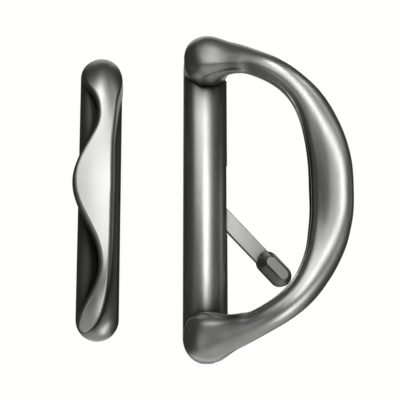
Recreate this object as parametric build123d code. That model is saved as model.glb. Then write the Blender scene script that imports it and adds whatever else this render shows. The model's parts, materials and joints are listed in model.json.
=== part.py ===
from build123d import *
import os
from math import cos, pi, radians, sin, sqrt

# Sliding patio door handle set: an interior D pull with a latch lever under a half-round cover, and an
# exterior finger pull with a wave-shaped fin. Millimetres. X is right, Z is up, and the door face is
# the plane Y = 0. What is seen stands out from it towards -Y, and what goes into the door is at +Y.
# The origin is the lever's pivot on the door face, half way between the two through-screws.

# Fixing to the door
screw_spacing = 100.0
screw_radius = 2.5
screw_reach = 32.0
screw_head_radius = 4.6
screw_head_height = 2.8
hole_clearance = 0.2
seat_clearance = 0.05

# Interior base plate
plate_thickness = 4.0
plate_inset = 0.7

# Interior D pull: full feet, thin necks and a flat grip that is rolled to the hand.
# Each foot is straight sided from the base plate to a little in front of the cover.
foot_centre_z = 89.0
foot_half_width = 14.6
foot_half_height = 16.4
foot_over_cover = 0.6
neck_radius = 8.1
grip_reach = 66.8
grip_stand_off = 59.0
grip_half_width = 14.2
grip_half_thickness = 7.2
grip_roll = 38.0
pull_screw_depth = 14.0

# Half-round cover between the feet
cover_half_width = 14.3
cover_height = 10.5
cover_side = 1.5
cover_wall = 2.0
cover_end_gap = 0.4
cover_horn_z = 80.0
slot_gap = 0.9

# Spring clips that hold the cover, each on one rivet
clip_z = 32.0
clip_thickness = 0.8
clip_width = 8.0
clip_arm = 2.4
clip_gap = 0.2
rivet_radius = 1.6
rivet_head_radius = 2.8
rivet_head_height = 1.1

# Latch lever, drawn at rest at 45 degrees below level
lever_rest_angle = -45.0
lever_swing = 90.0
lever_reach = 76.4
lever_width = 10.8
lever_thickness = 3.4
hub_radius = 9.0
shaft_radius = 4.4
running_clearance = 0.08
bush_wall = 1.6
bush_flange_radius = 8.0
bush_flange = 1.0
spring_thickness = 0.4
spring_rise = 0.5
spring_gap = 0.1
recess_radius = 8.0
recess_depth = 2.0
ring_thickness = 1.0
ring_radius = 6.8
groove_depth = 0.8

# Thumb pad on the lever's end
pad_length = 26.3
pad_width = 14.0
pad_skirt = 1.6
pad_height = 8.3
pad_top_length = 17.5
pad_top_width = 6.5

# Flat spindle that turns the lock
spindle_width = 5.0
spindle_thickness = 2.4
spindle_reach = 22.0
spindle_pin_radius = 0.8
spindle_pin_length = 15.0

# Exterior pull: a low rounded base and a wave-shaped fin
exterior_x = -68.6
base_half_width = 13.6
base_half_length = 91.7
base_height = 9.0
gasket_thickness = 1.0
gasket_inset = 0.8
fin_height = 24.0
fin_root_x = 5.6
fin_lean = 4.6
fin_narrow_x = -1.8
fin_sweep = 17.0
fin_drift = 1.1
fin_sweep_z = 6.3
fin_sweep_half = 49.6
fin_edge_radius = 2.6
recess_roof = 16.6
recess_wall_x = 2.4
recess_half_length = 58.0
recess_corner = 11.0

# Threaded posts behind the exterior pull
post_radius = 4.5
post_reach = 20.0
post_stud_radius = 3.0
post_stud_length = 4.5
post_bore_depth = 17.0

screw_heights = (screw_spacing / 2, -screw_spacing / 2)
base_back = -gasket_thickness
bush_radius = shaft_radius + running_clearance + bush_wall
hub_back = -(plate_thickness + bush_flange + spring_rise + spring_gap)
hub_front = hub_back - lever_thickness
cover_front = plate_thickness + cover_side + cover_height


def rod(radius, y_back, y_front, x=0.0, z=0.0):
    """Round bar along Y between two depths."""
    place = Plane(origin=(x, y_back, z), x_dir=(1, 0, 0), z_dir=(0, -1, 0))
    return extrude(place * Circle(radius), y_back - y_front)


def at_depth(y):
    """Plane parallel to the door face, drawn on with x to the right and y up."""
    return Plane(origin=(0, y, 0), x_dir=(1, 0, 0), z_dir=(0, -1, 0))


def slab(sketch, y_back, y_front):
    """A flat outline, given as X and Z, made solid between two depths."""
    return extrude(at_depth(y_back) * sketch, y_back - y_front)


def pull_stations():
    """Sections from the upper foot to mid-grip: centre, half sizes, direction, roll and squareness."""
    back = plate_thickness / grip_stand_off
    start = (cover_front + foot_over_cover) / grip_stand_off
    shape = [
        # outer and inner edge of the section, each across the door and out from it, as shares of the
        # foot's half width and of the grip's stand-off, then height, foot's share of the size, squareness
        ((-1.000, back), (1.000, back), 1.000, 1.00, 2.0),
        ((-1.090, start), (0.995, start), 1.000, 0.89, 2.2),
        ((-1.190, 0.375), (0.975, 0.302), 1.001, 0.90, 2.4),
        ((-0.985, 0.500), (0.950, 0.348), 0.999, 0.86, 2.5),
        ((-0.640, 0.586), (0.950, 0.424), 0.992, 0.71, 2.4),
        ((-0.045, 0.660), (1.000, 0.525), 0.979, 0.44, 2.1),
        ((0.620, 0.768), (1.266, 0.628), 0.957, 0.24, 2.0),
    ]
    rows = []
    for outer, inner, height, foot_share, square in shape:
        left = Vector(outer[0] * foot_half_width, -outer[1] * grip_stand_off)
        right = Vector(inner[0] * foot_half_width, -inner[1] * grip_stand_off)
        centre = (left + right) / 2 + Vector(0, 0, height * foot_centre_z)
        slant = (right - left).normalized()
        across = foot_half_height * foot_share + neck_radius * (1 - foot_share)
        rows.append((centre, (across, (right - left).length / 2), slant, 0.0, square))
    path = [
        # x, stand-off and height as shares of the grip's and foot's, then the grip's share of the size
        (0.370, 0.805, 0.902, 0.00),
        (0.553, 0.920, 0.812, 0.02),
        (0.762, 0.976, 0.654, 0.20),
        (0.903, 0.990, 0.430, 0.60),
        (0.982, 1.000, 0.227, 0.90),
        (1.000, 1.000, 0.000, 1.00),
    ]
    for x, out, height, share in path:
        size = (
            grip_half_width * share + neck_radius * (1 - share),
            grip_half_thickness * share + neck_radius * (1 - share),
        )
        centre = Vector(x * grip_reach, -out * grip_stand_off, height * foot_centre_z)
        rows.append((centre, size, None, grip_roll * share, 2.0))
    return rows


def rounded_section(place, across, thick, square):
    """Ellipse in two halves, the outer one drawn out towards a rectangle where square is over 2."""
    halves = []
    for side, power in ((1, 2 / square), (-1, 1.0)):
        points = []
        for i in range(9):
            c = cos(pi * i / 8)
            s = abs(sin(pi * i / 8))
            u = across * side * (1 if c > 0 else -1) * abs(c) ** power
            points.append((u, thick * side * s**power))
        halves.append(place * Spline(*points, tangents=[(0, side), (0, -side)]))
    return make_face(halves)


def pull_sections(grow=0.0):
    """Sections all round the D; where no slant is given they are square to the centre line."""
    upper = pull_stations()
    lower = []
    for centre, size, slant, roll, square in reversed(upper[:-1]):
        lower.append((Vector(centre.X, centre.Y, -centre.Z), size, slant, roll, square))
    rows = upper + lower
    sections = []
    for i, (centre, size, slant, roll, square) in enumerate(rows):
        if slant:
            # The section stands on the slant, and its other axis is upright
            along = slant.cross(Vector(0, 0, 1)) * (1 if centre.Z > 0 else -1)
        else:
            along = (rows[i + 1][0] - rows[i - 1][0]).normalized()
        # Away from the middle of the D, and rolled towards the hand at the grip
        height = centre.Z / foot_centre_z
        side = sqrt(max(0.0, 1 - height * height))
        outward = Vector(side * cos(radians(roll)), -side * sin(radians(roll)), height)
        outward = outward - along * outward.dot(along)
        place = Plane(origin=centre, x_dir=outward, z_dir=along)
        sections.append(rounded_section(place, size[0] + grow, size[1] + grow, square))
    return sections


def foot(side, grow=0.0):
    """The drafted part of a foot between the base plate and the bend, larger all round by grow."""
    sections = pull_sections(grow)
    return loft(sections[:2] if side > 0 else sections[-2:], ruled=True)


def interior_pull():
    """One casting: both feet, necks and grip, with blind holes for the screws from behind."""
    body = loft(pull_sections()[1:-1])
    for side in (1, -1):
        z = side * foot_centre_z
        body += foot(side)
        body -= rod(screw_radius + seat_clearance, 0, -(plate_thickness + pull_screw_depth + 1), z=z)
    return body


def plate_outline(inset):
    """Outline of the feet and the strip between them, drawn inside by the inset."""
    outline = Rectangle(2 * (foot_half_width - inset), 2 * foot_centre_z)
    for side in (1, -1):
        oval = Ellipse(foot_half_width - inset, foot_half_height - inset)
        outline += Location((0, side * foot_centre_z)) * oval
    return outline


def interior_base_plate():
    """Steel plate on the door face that carries the pull, cover, clips and lever."""
    plate = slab(plate_outline(plate_inset), 0, -plate_thickness)
    for z in screw_heights:
        plate -= rod(screw_radius + hole_clearance, 1, -plate_thickness - 1, z=z)
    for side in (1, -1):
        plate -= countersunk_shape(side * foot_centre_z, hole_clearance)
        plate -= rod(rivet_radius + seat_clearance, 1, -plate_thickness - 1, z=side * clip_z)
    plate -= rod(bush_radius + seat_clearance, 1, -plate_thickness - 1)
    plate -= rod(recess_radius, 1, -recess_depth)
    return plate


def countersunk_shape(z, clearance):
    """Countersunk head and shank, point towards the room, wider all round by the clearance."""
    head = screw_head_radius + clearance
    shank = screw_radius + clearance
    cone = Plane(origin=(0, 0, z), x_dir=(1, 0, 0), z_dir=(0, -1, 0)) * Cone(
        head, shank, head - shank, align=(Align.CENTER, Align.CENTER, Align.MIN)
    )
    return cone + rod(shank, 0, -plate_thickness - 1, z=z)


def pull_screw(side):
    """Countersunk screw from behind the plate into a foot, with a cross recess."""
    z = side * foot_centre_z
    place = Plane(origin=(0, -0.1, z), x_dir=(1, 0, 0), z_dir=(0, -1, 0))
    head_depth = screw_head_radius - screw_radius
    head = Cone(screw_head_radius, screw_radius, head_depth, align=(Align.CENTER, Align.CENTER, Align.MIN))
    screw = place * head + rod(screw_radius, -0.1, -plate_thickness - pull_screw_depth, z=z)
    return screw - cross_recess(0.0, -1.5, z)


def cross_recess(y_back, y_front, z):
    """Cross for the screwdriver."""
    cross = Rectangle(4.6, 1.0) + Rectangle(1.0, 4.6)
    return slab(Location((0, z)) * cross, y_back, y_front)


def through_screw(side):
    """Pan-head screw through the plate and the door into the exterior post."""
    z = side * screw_spacing / 2
    front = -plate_thickness - screw_head_height
    head = rod(screw_head_radius, -plate_thickness, front, z=z)
    head = fillet(head.faces().sort_by(Axis.Y)[0].edges(), 1.2)
    screw = head + rod(screw_radius, screw_reach, -plate_thickness, z=z)
    screw += rod(screw_radius + hole_clearance / 2, 0, -plate_thickness, z=z)
    tip = screw.faces().sort_by(Axis.Y)[-1].edges()
    return chamfer(tip, 0.8) - cross_recess(front + 1.5, front - 1, z)


def cover_section(half_width, height):
    """Straight sides and a half-round front, drawn as X and Y."""
    top = -(plate_thickness + cover_side)
    arc = EllipticalCenterArc((0, top), half_width, height, start_angle=180, arc_size=180)
    base = -plate_thickness
    sides = Polyline((half_width, top), (half_width, base), (-half_width, base), (-half_width, top))
    return make_face([arc, sides])


def interior_cover():
    """Half-round shell between the feet, with a slot in its right side for the lever."""
    outer = extrude(cover_section(cover_half_width, cover_height), cover_horn_z, both=True)
    inner = extrude(
        cover_section(cover_half_width - cover_wall, cover_height - cover_wall), cover_horn_z + 5, both=True
    )
    cover = outer - inner
    for side in (1, -1):
        cover -= foot(side, cover_end_gap)
    # The slot reaches as far as the blade does at both ends of its swing
    swing = radians(lever_swing / 2)
    slot_half = cover_half_width * sin(swing) / cos(swing) + lever_width / 2 / cos(swing) + slot_gap
    slot_front = -hub_front + slot_gap
    slot = Rectangle(cover_half_width, 2 * slot_half)
    cover -= slab(Location((cover_half_width, 0)) * slot, 0, -slot_front)
    return cover


def cover_clip(side):
    """Bent spring strip across the plate whose two arms grip the inside of the cover."""
    half = cover_half_width - cover_wall - clip_gap
    z = side * clip_z
    across = Location((0, z)) * Rectangle(2 * half, clip_width)
    strip = slab(across, -plate_thickness, -plate_thickness - clip_thickness)
    for x in (half - clip_thickness / 2, -half + clip_thickness / 2):
        arm = Location((x, z)) * Rectangle(clip_thickness, clip_width)
        strip += slab(arm, -plate_thickness, -plate_thickness - clip_arm)
    return strip - rod(rivet_radius + seat_clearance, 0, -plate_thickness - clip_arm, z=z)


def clip_rivet(side):
    """Rivet with a domed head through a clip and the plate."""
    z = side * clip_z
    seat = -plate_thickness - clip_thickness
    head = rod(rivet_head_radius, seat, seat - rivet_head_height, z=z)
    head = fillet(head.faces().sort_by(Axis.Y)[0].edges(), 0.8)
    return head + rod(rivet_radius, -0.1, seat, z=z)


def lever_bush():
    """Flanged plain bush in the plate, in which the lever's shaft turns."""
    sleeve = rod(bush_radius, -recess_depth, -plate_thickness)
    flange = rod(bush_flange_radius, -plate_thickness, -plate_thickness - bush_flange)
    return sleeve + flange - rod(shaft_radius + running_clearance, 1, -plate_thickness - bush_flange - 1)


def disc_spring():
    """Coned washer between the bush and the hub that holds the lever where it is left."""
    inner = shaft_radius + 4 * running_clearance
    outer = bush_flange_radius - 0.4
    seat = -(plate_thickness + bush_flange)
    rise = spring_rise - spring_thickness
    section = make_face(
        Polyline(
            (outer, seat),
            (outer, seat - spring_thickness),
            (inner, seat - spring_thickness - rise),
            (inner, seat - rise),
            (outer, seat),
        )
    )
    return revolve(section, Axis.Y)


def in_lever_place(shape):
    """Turns what is drawn along +X to the lever's rest angle about its pivot."""
    return shape.rotate(Axis.Y, -lever_rest_angle)


def blade_outline(grow=0.0):
    """Straight blade with a round end, drawn along +X from the pivot."""
    end = lever_reach - lever_width / 2 - pad_skirt
    half = lever_width / 2 + grow
    blade = Location((end / 2, 0)) * Rectangle(end, 2 * half)
    return blade + Location((end, 0)) * Circle(half)


def latch_lever():
    """One casting: hub, blade and the hollow shaft behind it, grooved for the ring."""
    blade = slab(blade_outline(), hub_back, hub_front)
    rim = blade.edges().filter_by(GeomType.LINE).filter_by(Axis.X)
    rim += blade.edges().filter_by(GeomType.CIRCLE)
    blade = chamfer(rim, 0.5)
    lever = blade + rod(hub_radius, hub_back, hub_front)
    shaft_end = -(recess_depth - ring_thickness - 0.6)
    lever += rod(shaft_radius, shaft_end, hub_back)
    groove = rod(shaft_radius + 1, -(recess_depth - ring_thickness - 0.15), -(recess_depth - 0.05))
    groove -= rod(shaft_radius - groove_depth, 1, -recess_depth - 1)
    lever -= groove
    lever -= slab(spindle_outline(seat_clearance), 1, hub_front + 0.8)
    lever -= pin_along(spindle_pin_radius + seat_clearance, hub_radius + 1)
    return in_lever_place(lever)


def spindle_outline(grow=0.0):
    """Flat section of the spindle."""
    return Rectangle(spindle_width + 2 * grow, spindle_thickness + 2 * grow)


def pin_along(radius, half_length):
    """Bar across the hub at right angles to the spindle's flats."""
    y = (hub_back + hub_front) / 2
    place = Plane(origin=(0, y, -half_length), x_dir=(1, 0, 0), z_dir=(0, 0, 1))
    return extrude(place * Circle(radius), 2 * half_length)


def lever_spindle():
    """Flat bar from the hub into the lock, with a hole for its pin."""
    bar = slab(spindle_outline(), spindle_reach, hub_front + 0.9)
    bar -= pin_along(spindle_pin_radius + seat_clearance, spindle_thickness)
    return in_lever_place(bar)


def spindle_pin():
    """Cross pin that holds the spindle in the hub."""
    return in_lever_place(pin_along(spindle_pin_radius, spindle_pin_length / 2))


def retaining_ring():
    """Open ring in the shaft's groove, inside the recess behind the plate."""
    back = -(recess_depth - ring_thickness - 0.1)
    front = back - ring_thickness + 0.05
    ring = rod(ring_radius, back, front) - rod(shaft_radius - groove_depth + seat_clearance, 1, front - 1)
    mouth = Location((0, ring_radius / 2 + 1)) * Rectangle(3.4, ring_radius + 2)
    return in_lever_place(ring - slab(mouth, 1, front - 1))


def lever_thumb_pad():
    """Moulded pad round the lever's end with an oval button on top."""
    centre = lever_reach - pad_length / 2
    top = hub_front - pad_height
    levels = [
        (hub_back, pad_length, pad_width),
        (hub_front - 1.2, pad_length, pad_width),
        (hub_front - 3.0, pad_length - 2.4, pad_width - 2.0),
        (top + 1.0, pad_top_length + 1.6, pad_top_width + 1.4),
        (top, pad_top_length, pad_top_width),
    ]
    outlines = []
    for y, length, width in levels:
        outlines.append(at_depth(y) * (Location((centre, 0)) * SlotOverall(length, width)))
    pad = loft(outlines[:2], ruled=True) + loft(outlines[1:], ruled=True)
    pad = fillet(pad.faces().sort_by(Axis.Y)[0].edges(), 0.8)
    pad -= slab(blade_outline(seat_clearance), hub_back + 1, hub_front - seat_clearance)
    return in_lever_place(pad)


def fin_edge(share):
    """Point of the free edge at a share of half the sweep: near the wall at -1 and 1, far left at 0."""
    sweep = fin_sweep * (1 + cos(pi * min(1.0, abs(share)))) / 2 + fin_drift * max(0.0, share)
    return (fin_narrow_x - sweep, fin_sweep_z + share * fin_sweep_half)


def fin_plan(level):
    """Closed outline of the fin; at level 0 it is at the foot and at level 1 at the crest."""
    lean = fin_lean * (1 - level)
    end_z = base_half_length - base_half_width
    edge_r = base_half_width - 0.3 - 3.0 * level
    right = fin_root_x + lean
    outer = edge_r * (1 - level) + (right + 1.5) * level
    # Down the right side, round the lobe and in again, with Z as a share of the half length
    lower = [
        (right, 0.044),
        (right - 0.3, -0.284),
        (right - 1.1, -0.502),
        (right - 2.9, -0.676),
        (right - 6.2, -0.810),
        (right - 11.4, -0.905),
        (-7.8 - 0.2 * lean, -0.938),
        (-11.6, -0.918),
        (-12.9, -0.850),
        (-10.4, -0.768),
        (-6.0, -0.672),
    ]
    points = [(x, share * base_half_length) for x, share in lower]
    # Up the free edge and under the hook
    points += [fin_edge(share) for share in (-1.1, -0.9, -0.7, -0.5, -0.28, -0.06, 0.16, 0.36, 0.56, 0.8)]
    hook = [(-4.3, 0.610), (-6.6, 0.690), (-10.2, 0.748)]
    points += [(x, share * base_half_length) for x, share in hook]
    # Over the top and back down the right side
    for angle in (172, 140, 108, 76, 44, 14):
        points.append((edge_r * cos(radians(angle)), end_z + edge_r * sin(radians(angle))))
    upper = [(outer, 0.676), ((outer + right) / 2, 0.545), (right, 0.371)]
    points += [(x, share * base_half_length) for x, share in upper]
    return Spline(*points, periodic=True)


def crest_form():
    """Rounded mass that the fin's front follows: low at both ends and nearly flat in the middle."""
    stations = [
        # share of the half length, then centre x, half width, height
        (-0.965, -3.0, 7.0, 5.0),
        (-0.90, -3.0, 13.6, 11.0),
        (-0.78, -2.6, 20.0, 17.0),
        (-0.55, -1.0, 36.0, 22.0),
        (0.0, 0.0, 70.0, fin_height),
        (0.55, -1.0, 36.0, 22.0),
        (0.78, -1.0, 20.0, 17.6),
        (0.91, 0.0, 13.0, 12.6),
        (1.0, 0.0, 6.0, 3.4),
    ]
    ovals = []
    for share, x, half_width, height in stations:
        place = Plane(origin=(x, 0, share * base_half_length), x_dir=(1, 0, 0), z_dir=(0, 0, 1))
        ovals.append(place * Ellipse(half_width, height * fin_height / 24.0))
    return loft(ovals)


def exterior_fin():
    """The wave-shaped fin on its wall, hollow under the sweep for the fingers."""
    level_height = fin_height + 2
    foot = make_face(at_depth(base_back) * fin_plan(0))
    crest = make_face(at_depth(-level_height) * fin_plan(1))
    fin = loft([foot, crest], ruled=True) & crest_form()
    # The edge round the front is rounded, and the foot's edge and the seam between them are not
    front = fin.faces().sort_by(Axis.Y)[0].edges().sort_by(SortBy.LENGTH)[-1]
    fin = fillet(front, fin_edge_radius)
    return fin - finger_recess()


def finger_recess():
    """The room for the fingers under the sweep, with round corners at both ends."""
    reach = 2 * base_half_width + fin_sweep
    recess = RectangleRounded(2 * reach, 2 * recess_half_length, recess_corner)
    return slab(Location((recess_wall_x - reach, 0)) * recess, 0, -recess_roof)


def exterior_base():
    """Low base with a rounded front and round ends."""
    end_z = base_half_length - base_half_width
    height = base_height - gasket_thickness
    arc = EllipticalCenterArc((0, base_back), base_half_width, height, start_angle=180, arc_size=180)
    section = make_face([arc, Line((base_half_width, base_back), (-base_half_width, base_back))])
    base = extrude(section, end_z, both=True)
    quarter = make_face(
        [
            EllipticalCenterArc((0, base_back), base_half_width, height, start_angle=270, arc_size=90),
            Line((base_half_width, base_back), (0, base_back)),
            Line((0, base_back), (0, base_back - height)),
        ]
    )
    dome = revolve(quarter, Axis((0, 0, 0), (0, 1, 0)))
    for side in (1, -1):
        base += Location((0, 0, side * end_z)) * dome
    return base


def exterior_pull():
    """One casting: base, wall and fin, with blind holes for the posts."""
    body = exterior_fin() + exterior_base()
    for z in screw_heights:
        depth = post_stud_length + 10 * seat_clearance
        body -= rod(post_stud_radius + seat_clearance, base_back + 1, base_back - depth, z=z)
    return Location((exterior_x, 0, 0)) * body


def exterior_gasket():
    """Flat seal between the exterior pull and the door."""
    length = 2 * (base_half_length - gasket_inset)
    outline = SlotOverall(length, 2 * (base_half_width - gasket_inset), rotation=90)
    for z in screw_heights:
        outline -= Location((0, z)) * Circle(post_radius + hole_clearance)
    return Location((exterior_x, 0, 0)) * slab(outline, 0, -gasket_thickness)


def mounting_post(side):
    """Threaded post that the through-screw meets inside the door."""
    z = side * screw_spacing / 2
    post = rod(post_radius, post_reach, base_back, z=z)
    post = chamfer(post.faces().sort_by(Axis.Y)[-1].edges(), 0.6)
    post += rod(post_stud_radius, base_back, base_back - post_stud_length, z=z)
    post -= rod(screw_radius + seat_clearance, post_reach + 1, post_reach - post_bore_depth, z=z)
    return Location((exterior_x, 0, 0)) * post


def main():
    os.makedirs("parts", exist_ok=True)
    pieces = {
        "interior_base_plate": interior_base_plate(),
        "interior_pull": interior_pull(),
        "interior_cover": interior_cover(),
        "lever_bush": lever_bush(),
        "disc_spring": disc_spring(),
        "latch_lever": latch_lever(),
        "lever_thumb_pad": lever_thumb_pad(),
        "lever_spindle": lever_spindle(),
        "spindle_pin": spindle_pin(),
        "retaining_ring": retaining_ring(),
        "exterior_pull": exterior_pull(),
        "exterior_gasket": exterior_gasket(),
    }
    for name, side in (("upper", 1), ("lower", -1)):
        pieces["pull_screw_" + name] = pull_screw(side)
        pieces["through_screw_" + name] = through_screw(side)
        pieces["cover_clip_" + name] = cover_clip(side)
        pieces["clip_rivet_" + name] = clip_rivet(side)
        pieces["mounting_post_" + name] = mounting_post(side)
    for name, piece in pieces.items():
        export_step(piece, "parts/" + name + ".step")


main()
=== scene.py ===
import bpy
import json
import math
from mathutils import Matrix, Vector


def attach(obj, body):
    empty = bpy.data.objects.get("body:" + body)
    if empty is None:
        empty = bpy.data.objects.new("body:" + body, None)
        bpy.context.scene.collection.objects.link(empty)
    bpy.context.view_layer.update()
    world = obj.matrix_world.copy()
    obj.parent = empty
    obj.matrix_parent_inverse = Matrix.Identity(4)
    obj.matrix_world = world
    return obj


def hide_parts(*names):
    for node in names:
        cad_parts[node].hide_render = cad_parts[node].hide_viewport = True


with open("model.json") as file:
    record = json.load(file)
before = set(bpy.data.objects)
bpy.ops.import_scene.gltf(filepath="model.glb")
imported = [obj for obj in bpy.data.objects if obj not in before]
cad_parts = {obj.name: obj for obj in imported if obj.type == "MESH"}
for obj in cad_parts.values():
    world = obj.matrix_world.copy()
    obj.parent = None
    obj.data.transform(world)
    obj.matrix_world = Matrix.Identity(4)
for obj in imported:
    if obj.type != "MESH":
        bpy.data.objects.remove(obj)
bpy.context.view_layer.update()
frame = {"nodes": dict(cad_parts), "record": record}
nodes = frame["nodes"]
slots = {row["node"]: row["material_slot"] for row in frame["record"]["subparts"]}

SCENE = bpy.context.scene
MM_PER_M = 1000

# Camera: seen from a little to the left and from below, as in the photograph. Angles are in
# degrees and lengths in metres, apart from the sensor's width, which Blender takes in mm
CAMERA_AZIMUTH = -12
CAMERA_ELEVATION = -10
CAMERA_DISTANCE = 0.6
CAMERA_TARGET = Vector((-0.00575, -0.015, -0.002))
VIEW_WIDTH = 0.256
SENSOR_WIDTH = 36

# Stage: a floor below the part, and behind it a sheet a little wider than the camera sees there.
# Their roughness is a mean and how far it varies
FLOOR_Z = -0.8
FLOOR_HALF = 0.8
BACKDROP_DISTANCE = 1.2
BACKDROP_HALF = 0.42
SHEET_CELLS = 4
PAPER_CLOUDS = 40.0
PAPER_TONES = ((0.86, 0.86, 0.85), (0.90, 0.90, 0.89))
CLOTH_CLOUDS = 30.0
CLOTH_TONES = ((0.88, 0.88, 0.87), (0.92, 0.92, 0.91))
MATT_ROUGHNESS = (0.85, 0.05)

# The world as metal, matt surfaces and the camera see it
SURROUND = (0.05, 0.05, 0.05, 1)
DAYLIGHT = (0.65, 0.65, 0.65, 1)
WHITE = (1, 1, 0.985, 1)

# Soft boxes round the middle of the part, fitted to the streaks on the metal in the photograph
LIGHT_CENTRE = Vector((-0.01, -0.03, 0.0))
LIGHT_DISTANCE = 0.5
LIGHTS = [
    # azimuth and elevation (degrees), width and height (m), brightness (W for each square metre)
    (0, 5, 0.105, 0.123, 31.0),
    (12, 5, 0.105, 0.123, 9.0),
    (0, 20, 0.115, 0.132, 11.7),
    (14, 20, 0.115, 0.132, 4.5),
    (-14, 20, 0.115, 0.132, 7.6),
    (-28, 20, 0.115, 0.132, 8.0),
    (-42, 20, 0.115, 0.132, 6.0),
    (36, -25, 0.144, 0.158, 10.9),
    (25, -45, 0.157, 0.231, 14.3),
    (40, 40, 0.135, 0.176, 9.6),
    (-45, 36, 0.300, 0.250, 1.8),
    (-10, 42, 0.135, 0.130, 36.0),
    (-50, -25, 0.250, 0.250, 2.2),
    (72, 5, 0.105, 0.123, 2.9),
    (180, -50, 0.400, 0.300, 2.0),
    (180, 60, 0.400, 0.300, 3.0),
]

# Texture of a kind of surface: the scale of its clouds of tone, the detail of its grain and how
# far its roughness varies. The tone goes from dark to light between the two levels of the noise
# in TONE_RAMP, and the relief's height is in metres
METAL_TEXTURE = (35.0, 2.0, 0.015)
MOULDED_TEXTURE = (60.0, 3.0, 0.05)
CLOUD_DETAIL = 3.0
TONE_RAMP = (0.3, 0.7)
RELIEF_HEIGHT = 0.0004

# Painted shade, a darker base colour in hollows, under joints and between parts: how far a
# point looks round itself, in metres, and the share of open space there at which the painted
# shade is full and at which it ends
HOLLOW_SHADE = (0.03, 0.45, 0.95)
DEEPER_HOLLOW_SHADE = (0.06, 0.70, 1.00)
COVER_HOLLOW_SHADE = (0.022, 0.60, 0.98)
HOLLOW_SHADE_SAMPLES = 16
HOLLOW_SHADE_DARKEST = 0.03

NICKEL_GRAIN = (900.0, 0.001)
METALS = {
    # dark tone, light tone, roughness, (scale of the grain, strength of its relief), painted
    # shade
    # A shaded copy of satin_nickel for the exterior pull: painted shade, darker all over and in
    # hollows
    "shaded_satin_nickel": ((0.31, 0.31, 0.296), (0.345, 0.345, 0.331), 0.36, NICKEL_GRAIN, DEEPER_HOLLOW_SHADE),
    "satin_nickel": ((0.34, 0.34, 0.325), (0.38, 0.38, 0.365), 0.38, NICKEL_GRAIN, HOLLOW_SHADE),
    "cover_nickel": ((0.34, 0.34, 0.325), (0.38, 0.38, 0.365), 0.32, NICKEL_GRAIN, COVER_HOLLOW_SHADE),
    "lever_nickel": ((0.40, 0.40, 0.385), (0.44, 0.44, 0.42), 0.34, NICKEL_GRAIN, HOLLOW_SHADE),
    "zinc_steel": ((0.53, 0.54, 0.55), (0.60, 0.61, 0.63), 0.30, (700.0, 0.01), HOLLOW_SHADE),
    "spring_steel": ((0.34, 0.34, 0.36), (0.42, 0.42, 0.43), 0.32, (600.0, 0.01), HOLLOW_SHADE),
}
MOULDINGS = {
    # dark tone, light tone, roughness, (scale of the grain, strength of its relief), shine
    "thumb_pad": ((0.014, 0.014, 0.014), (0.022, 0.022, 0.022), 0.24, (900.0, 0.01), 1.0),
    "bush_nylon": ((0.70, 0.69, 0.64), (0.77, 0.76, 0.71), 0.45, (800.0, 0.02), 0.5),
    "gasket_rubber": ((0.03, 0.03, 0.03), (0.05, 0.05, 0.05), 0.70, (1200.0, 0.05), 0.3),
}

# Painted highlight on the thumb pad's flat top: its tone, and the normal's Y at which it starts
# and is full
TOP_HIGHLIGHT_TONE = (0.19, 0.19, 0.185, 1)
TOP_HIGHLIGHT_FROM = -0.85
TOP_HIGHLIGHT_TO = -0.99

# The grip across the D, in mm, from the top down in even steps: its inner and outer edge
# as in the solid, and how far each of them lies more to the right in the photograph
GRIP_TOP = 84
GRIP_STEP = 12
GRIP_EDGES = [
    (20.0, 34.0, 0.0, 0.0),
    (29.0, 49.2, 0.0, -0.4),
    (39.5, 59.6, 0.0, 0.8),
    (45.5, 67.8, 0.65, 1.05),
    (49.1, 74.0, 1.05, 0.7),
    (51.1, 78.3, 1.05, -0.5),
    (53.1, 80.3, 0.75, -1.1),
    (53.3, 80.4, 1.0, -0.95),
    (53.0, 80.3, 1.05, -1.2),
    (51.3, 78.4, 1.45, -0.85),
    (48.8, 74.4, 1.75, 0.25),
    (45.7, 68.7, 0.65, 0.5),
    (37.5, 61.2, 0.0, 0.0),
    (25.0, 49.8, 0.0, 0.1),
    (20.0, 34.0, 0.0, 0.0),
]


def direction(azimuth, elevation):
    """The way from the part to what stands at these angles, in degrees, 0, 0 being in front."""
    az, el = math.radians(azimuth), math.radians(elevation)
    return Vector((math.sin(az) * math.cos(el), -math.cos(az) * math.cos(el), math.sin(el)))


def view_axes():
    """The camera's right, up and backward directions."""
    back = direction(CAMERA_AZIMUTH, CAMERA_ELEVATION)
    turn = math.radians(CAMERA_AZIMUTH)
    right = Vector((math.cos(turn), math.sin(turn), 0))
    return right, back.cross(right), back


def place_facing_camera(obj, distance):
    """Put an object square to the view, this far from the camera's target towards the camera."""
    turn = Matrix(view_axes()).transposed().to_4x4()
    obj.matrix_world = Matrix.Translation(CAMERA_TARGET + distance * view_axes()[2]) @ turn


def add_object(name, data):
    """A new object in the scene."""
    obj = bpy.data.objects.new(name, data)
    SCENE.collection.objects.link(obj)
    return obj


def make_camera():
    """The scene's camera, which sees VIEW_WIDTH across at its target."""
    data = bpy.data.cameras.new("camera")
    data.sensor_width = SENSOR_WIDTH
    data.lens = SENSOR_WIDTH * CAMERA_DISTANCE / VIEW_WIDTH
    camera = add_object("camera", data)
    place_facing_camera(camera, CAMERA_DISTANCE)
    SCENE.camera = camera


def new_material(name):
    """A node material, its tree and its Principled shader."""
    material = bpy.data.materials.new(name)
    material.use_nodes = True
    return material, material.node_tree, material.node_tree.nodes["Principled BSDF"]


def add_noise(tree, scale, detail):
    """A socket that gives noise in object space."""
    place = tree.nodes.new("ShaderNodeTexCoord")
    noise = tree.nodes.new("ShaderNodeTexNoise")
    noise.inputs["Scale"].default_value = scale
    noise.inputs["Detail"].default_value = detail
    tree.links.new(place.outputs["Object"], noise.inputs["Vector"])
    return noise.outputs["Fac"]


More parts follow.
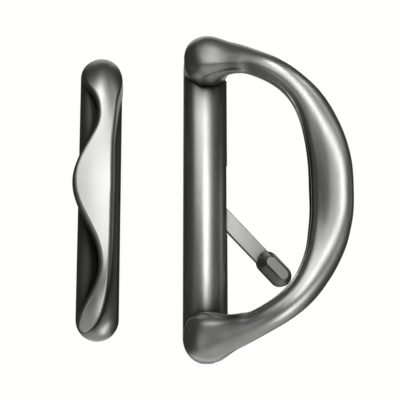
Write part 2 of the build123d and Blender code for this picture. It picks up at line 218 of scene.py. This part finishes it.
def add_tone(tree, shader, noise, dark, light):
    """Base colour between two tones, by the noise."""
    tone = tree.nodes.new("ShaderNodeValToRGB")
    for element, place, colour in zip(tone.color_ramp.elements, TONE_RAMP, (dark, light)):
        element.position = place
        element.color = (*colour, 1)
    tree.links.new(noise, tone.inputs["Fac"])
    tree.links.new(tone.outputs["Color"], shader.inputs["Base Color"])


def add_gloss(tree, shader, noise, rough, spread):
    """Roughness that varies about a mean, by the noise."""
    gloss = tree.nodes.new("ShaderNodeMapRange")
    gloss.inputs["To Min"].default_value = rough - spread
    gloss.inputs["To Max"].default_value = rough + spread
    tree.links.new(noise, gloss.inputs["Value"])
    tree.links.new(gloss.outputs["Result"], shader.inputs["Roughness"])


def add_bump(tree, shader, noise, strength):
    """Surface relief by the noise."""
    bump = tree.nodes.new("ShaderNodeBump")
    bump.inputs["Strength"].default_value = strength
    bump.inputs["Distance"].default_value = RELIEF_HEIGHT
    tree.links.new(noise, bump.inputs["Height"])
    tree.links.new(bump.outputs["Normal"], shader.inputs["Normal"])


def layer_over_tone(tree, shader, blend):
    """Put a colour mix between the shader and what gives its base colour."""
    tree.links.new(shader.inputs["Base Color"].links[0].from_socket, blend.inputs["Color1"])
    tree.links.new(blend.outputs["Color"], shader.inputs["Base Color"])


def add_painted_shade(tree, shader, reach, full, end):
    """Painted shade: a darker base colour where a surface is hemmed in, such as in recesses and
    under joints.
    """
    space = tree.nodes.new("ShaderNodeAmbientOcclusion")
    space.samples = HOLLOW_SHADE_SAMPLES
    space.inputs["Distance"].default_value = reach
    level = tree.nodes.new("ShaderNodeMapRange")
    level.inputs["From Min"].default_value = full
    level.inputs["From Max"].default_value = end
    level.inputs["To Min"].default_value = HOLLOW_SHADE_DARKEST
    tree.links.new(space.outputs["AO"], level.inputs["Value"])
    blend = tree.nodes.new("ShaderNodeMixRGB")
    blend.blend_type = "MULTIPLY"
    blend.inputs["Fac"].default_value = 1.0
    tree.links.new(level.outputs["Result"], blend.inputs["Color2"])
    layer_over_tone(tree, shader, blend)


def textured(name, dark, light, rough, grain, texture):
    """A material with clouds of tone, and fine grain in its roughness and relief."""
    material, tree, shader = new_material(name)
    clouds, detail, spread = texture
    scale, strength = grain
    add_tone(tree, shader, add_noise(tree, clouds, CLOUD_DETAIL), dark, light)
    fine = add_noise(tree, scale, detail)
    add_gloss(tree, shader, fine, rough, spread)
    add_bump(tree, shader, fine, strength)
    return material, tree, shader


def metal(name, dark, light, rough, grain, painted_shade):
    """Plated or bare metal: cloudy tone, faint orange peel, and painted shade in hollows."""
    material, tree, shader = textured(name, dark, light, rough, grain, METAL_TEXTURE)
    shader.inputs["Metallic"].default_value = 1.0
    # Painted shade in the hollows and under joints
    add_painted_shade(tree, shader, *painted_shade)
    return material


def moulding(name, dark, light, rough, grain, shine):
    """Plastic or rubber: slightly uneven tone and sheen, and the mould's fine texture."""
    material, tree, shader = textured(name, dark, light, rough, grain, MOULDED_TEXTURE)
    shader.inputs["Specular IOR Level"].default_value = shine
    return material


def paint_top_highlight(material):
    """Paint a lighter highlight on the flat top of the thumb pad, which faces away from the
    door.
    """
    tree = material.node_tree
    normal = tree.nodes.new("ShaderNodeTexCoord").outputs["Normal"]
    split = tree.nodes.new("ShaderNodeSeparateXYZ")
    tree.links.new(normal, split.inputs[0])
    top = tree.nodes.new("ShaderNodeMapRange")
    top.inputs["From Min"].default_value = TOP_HIGHLIGHT_FROM
    top.inputs["From Max"].default_value = TOP_HIGHLIGHT_TO
    tree.links.new(split.outputs["Y"], top.inputs["Value"])
    highlight = tree.nodes.new("ShaderNodeMixRGB")
    highlight.inputs["Color2"].default_value = TOP_HIGHLIGHT_TONE
    tree.links.new(top.outputs["Result"], highlight.inputs["Fac"])
    layer_over_tone(tree, tree.nodes["Principled BSDF"], highlight)


def add_lights():
    """The soft boxes, each of them turned to the middle of the part."""
    for i, (azimuth, elevation, width, height, brightness) in enumerate(LIGHTS):
        way = direction(azimuth, elevation)
        data = bpy.data.lights.new("soft_box_%d" % (i + 1), "AREA")
        data.shape = "RECTANGLE"
        data.size, data.size_y = width, height
        data.energy = brightness * width * height
        lamp = add_object(data.name, data)
        lamp.location = LIGHT_CENTRE + LIGHT_DISTANCE * way
        lamp.rotation_euler = (-way).to_track_quat("-Z", "Y").to_euler()


def seen_rays(tree, first, *others):
    """A socket that is 1 for the kinds of ray that are named."""
    path = tree.nodes.new("ShaderNodeLightPath")
    total = path.outputs[first]
    for name in others:
        either = tree.nodes.new("ShaderNodeMath")
        either.operation = "MAXIMUM"
        tree.links.new(total, either.inputs[0])
        tree.links.new(path.outputs[name], either.inputs[1])
        total = either.outputs[0]
    return total


def mix_shaders(tree, share, first, second):
    """A node that shows the second shader where the share is 1, and the first where it is 0."""
    mix = tree.nodes.new("ShaderNodeMixShader")
    for source, socket in zip((share, first.outputs[0], second.outputs[0]), mix.inputs):
        tree.links.new(source, socket)
    return mix


def make_world():
    """A dark studio round the metal, plain light on matt surfaces, and white for the camera."""
    world = bpy.data.worlds.new("world")
    SCENE.world = world
    world.use_nodes = True
    tree = world.node_tree
    shown = tree.nodes["Background"]
    shown.inputs["Color"].default_value = SURROUND
    for ray, colour in (("Is Diffuse Ray", DAYLIGHT), ("Is Camera Ray", WHITE)):
        level = tree.nodes.new("ShaderNodeBackground")
        level.inputs["Color"].default_value = colour
        shown = mix_shaders(tree, seen_rays(tree, ray), shown, level)
    tree.links.new(shown.outputs[0], tree.nodes["World Output"].inputs[0])


def matt(name, clouds, dark, light):
    """Paper or cloth, with a faintly uneven tone and roughness."""
    material, tree, shader = new_material(name)
    noise = add_noise(tree, clouds, CLOUD_DETAIL)
    add_tone(tree, shader, noise, dark, light)
    add_gloss(tree, shader, noise, *MATT_ROUGHNESS)
    return material, tree, shader


def sheet(name, half, point_at):
    """A square of SHEET_CELLS cells each way; point_at gives the point for a place on it."""
    steps = SHEET_CELLS
    points = []
    for i in range(steps + 1):
        for j in range(steps + 1):
            points.append(point_at(half * (2 * i / steps - 1), half * (2 * j / steps - 1)))
    cells = []
    for i in range(steps):
        for j in range(steps):
            a = i * (steps + 1) + j
            cells.append((a, a + steps + 1, a + steps + 2, a + 1))
    mesh = bpy.data.meshes.new(name)
    mesh.from_pydata(points, [], cells)
    return add_object(name, mesh)


def make_stage():
    """A pale floor, and a backdrop that camera, glossy and transmitted rays see as white."""
    paper, _, _ = matt("floor_paper", PAPER_CLOUDS, *PAPER_TONES)
    floor = sheet("floor", FLOOR_HALF, lambda x, y: (x, y, FLOOR_Z))
    floor.data.materials.append(paper)

    cloth, tree, shader = matt("backdrop_cloth", CLOTH_CLOUDS, *CLOTH_TONES)
    white = tree.nodes.new("ShaderNodeEmission")
    white.inputs["Color"].default_value = WHITE
    rays = seen_rays(tree, "Is Camera Ray", "Is Glossy Ray", "Is Transmission Ray")
    mix = mix_shaders(tree, rays, shader, white)
    tree.links.new(mix.outputs[0], tree.nodes["Material Output"].inputs[0])
    backdrop = sheet("backdrop", BACKDROP_HALF, lambda x, y: (x, y, 0.0))
    backdrop.data.materials.append(cloth)
    place_facing_camera(backdrop, -BACKDROP_DISTANCE)


def eased(values, place):
    """A smooth line (Catmull-Rom) through evenly spaced values, read at this place."""
    i = min(int(place), len(values) - 2)
    f = place - i
    a, b, c, d = (values[min(max(i + k, 0), len(values) - 1)] for k in (-1, 0, 1, 2))
    return b + 0.5 * f * (c - a + f * (2 * a - 5 * b + 4 * c - d + f * (3 * (b - c) + d - a)))


def trim_grip(node):
    """A piece that stands for the pull, its grip's edges moved to the photograph's outline."""
    mesh = node.data.copy()
    columns = list(zip(*GRIP_EDGES))
    for vertex in mesh.vertices:
        place = (GRIP_TOP - MM_PER_M * vertex.co.z) / GRIP_STEP
        if 0 < place < len(GRIP_EDGES) - 1:
            inner, outer, inner_shift, outer_shift = (eased(column, place) for column in columns)
            across = min(max((MM_PER_M * vertex.co.x - inner) / (outer - inner), 0), 1)
            vertex.co.x += (inner_shift + across * (outer_shift - inner_shift)) / MM_PER_M
    body = add_object("interior_pull_body", mesh)
    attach(body, "handle")
    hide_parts("interior_pull")


make_camera()
make_world()
make_stage()
add_lights()

materials = {name: metal(name, *row) for name, row in METALS.items()}
materials.update({name: moulding(name, *row) for name, row in MOULDINGS.items()})
# Painted highlight on the thumb pad's top face
paint_top_highlight(materials["thumb_pad"])
for name, node in nodes.items():
    node.data.materials.clear()
    node.data.materials.append(materials[slots[name]])
# Painted shade: the exterior pull gets a copy of the satin nickel that is darker in tone and
# deeper in its hollows
nodes["exterior_pull"].data.materials[0] = materials["shaded_satin_nickel"]
trim_grip(nodes["interior_pull"])
SCENE.view_settings.view_transform = "Standard"
